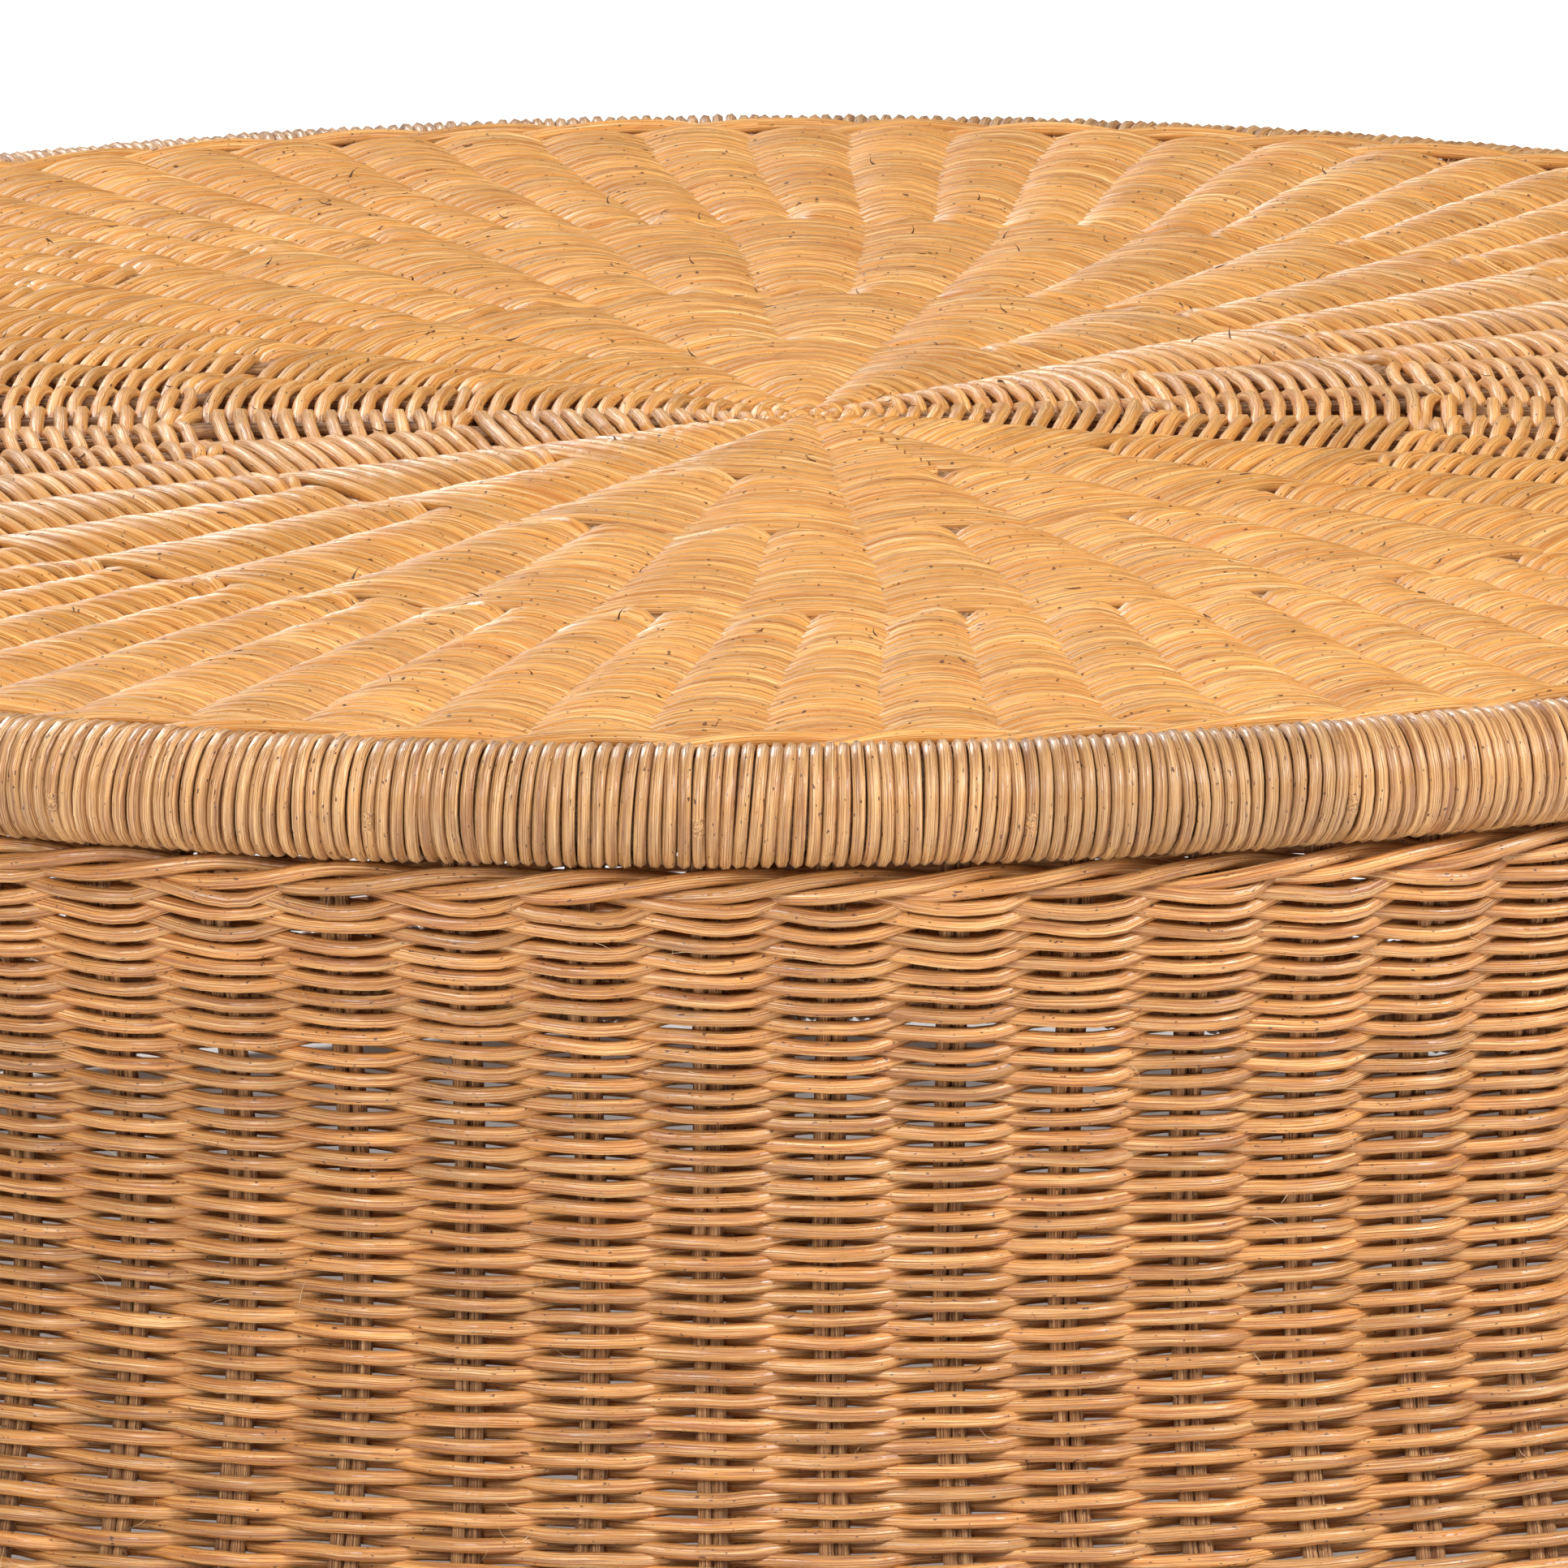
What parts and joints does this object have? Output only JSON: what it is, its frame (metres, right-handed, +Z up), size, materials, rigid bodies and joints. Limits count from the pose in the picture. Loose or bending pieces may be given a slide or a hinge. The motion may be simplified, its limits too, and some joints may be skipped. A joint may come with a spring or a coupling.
{
  "type": "wicker coffee table",
  "caption": "Round woven rattan coffee table: a drum with a drawn-in waist, cane-wrapped rims and a flat woven top, open underneath.",
  "frame": {"origin": "on the floor under the centre of the top", "axes": "+Z up, from the floor to the top; -Y towards the viewer; +X to the viewer's right"},
  "size_m": [1.2, 1.2, 0.36],
  "materials": {
    "top_cane": "clear lacquered round rattan core, golden",
    "side_cane": "clear lacquered round rattan core, brown streaks",
    "wrap_cane": "duller wound rattan core",
    "rattan_pole": "satin rattan pole",
    "binding_cane": "flat cane binding",
    "glide_rubber": "matte black"
  },
  "bodies": {
    "root": {"top_panel": "top_cane", "top_edge_wale": "top_cane", "top_rim_hoop": "rattan_pole", "top_rim_wrap": "wrap_cane", "upper_wale": "side_cane", "side_weave": "side_cane", "lower_wale": "side_cane", "base_hoop": "rattan_pole", "base_wrap": "wrap_cane", "waist_hoop": "rattan_pole", "cross_bar": "rattan_pole", "top_bar_1": "rattan_pole", "bar_lashing_1": "binding_cane", "top_bar_2": "rattan_pole", "bar_lashing_2": "binding_cane", "top_bar_3": "rattan_pole", "bar_lashing_3": "binding_cane", "upright_1": "rattan_pole", "waist_lashing_1": "binding_cane", "glide_1": "glide_rubber", "upright_2": "rattan_pole", "waist_lashing_2": "binding_cane", "glide_2": "glide_rubber", "upright_3": "rattan_pole", "waist_lashing_3": "binding_cane", "glide_3": "glide_rubber", "upright_4": "rattan_pole", "waist_lashing_4": "binding_cane", "glide_4": "glide_rubber", "upright_5": "rattan_pole", "waist_lashing_5": "binding_cane", "glide_5": "glide_rubber", "upright_6": "rattan_pole", "waist_lashing_6": "binding_cane", "glide_6": "glide_rubber", "upright_7": "rattan_pole", "waist_lashing_7": "binding_cane", "glide_7": "glide_rubber", "upright_8": "rattan_pole", "waist_lashing_8": "binding_cane", "glide_8": "glide_rubber"}
  },
  "joints": []
}
